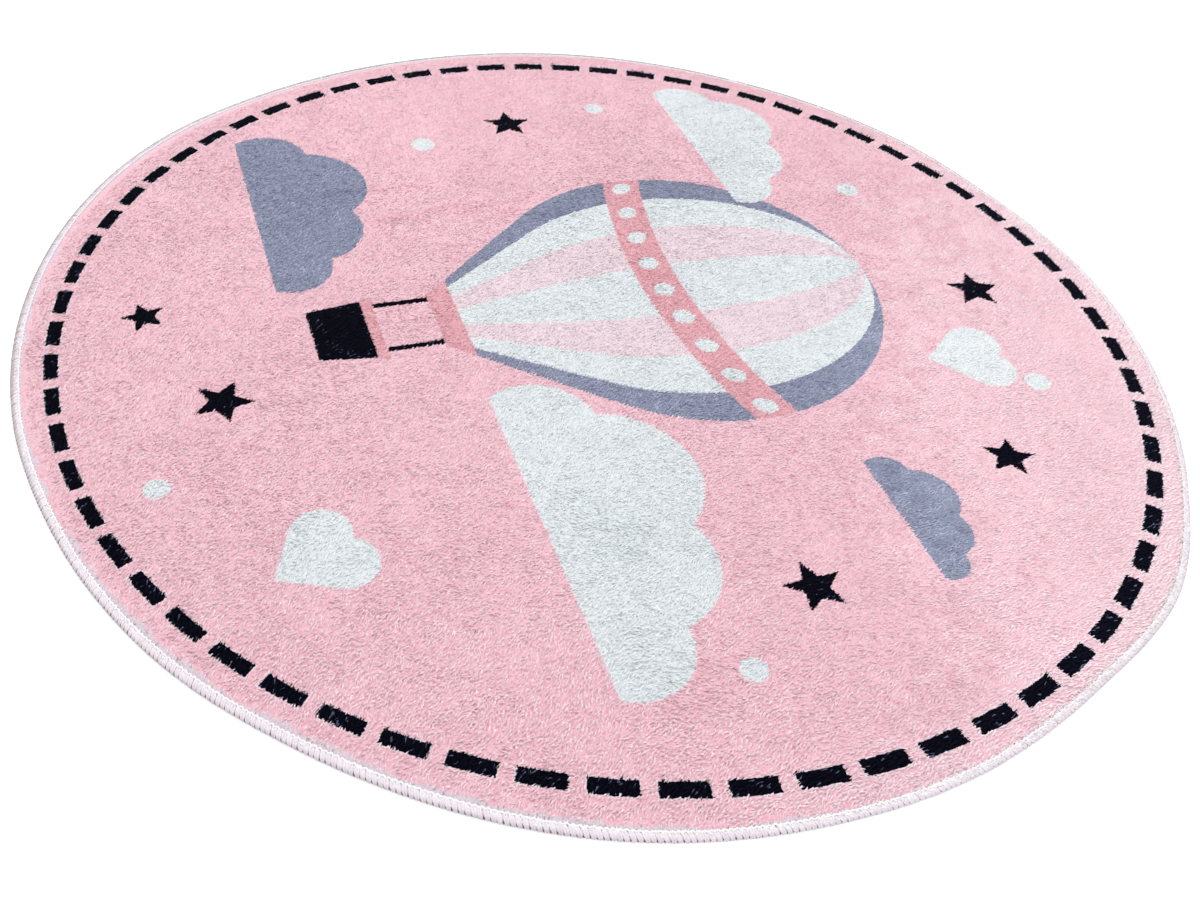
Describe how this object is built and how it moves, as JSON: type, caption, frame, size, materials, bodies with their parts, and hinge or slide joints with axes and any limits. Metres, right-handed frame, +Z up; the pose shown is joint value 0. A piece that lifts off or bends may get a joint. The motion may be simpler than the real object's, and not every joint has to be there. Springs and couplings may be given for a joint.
{
  "type": "round nursery rug",
  "caption": "Round plush rug, lying flat, with a printed pile face and an overlocked yarn edge all round.",
  "frame": {"origin": "on the floor under the middle of the rug", "axes": "+Z up out of the pile; the rug is round, and +Y points away from a viewer who looks along it at azimuth 0"},
  "size_m": [0.9951, 1.006, 0.0083],
  "materials": {
    "plush": "soft cut pile, printed in pink, white, slate grey and navy",
    "edge_yarn": "matt bulky white yarn, stitched close"
  },
  "bodies": {
    "root": {"pile_cloth": "plush", "overlock_edge": "edge_yarn"}
  },
  "joints": []
}
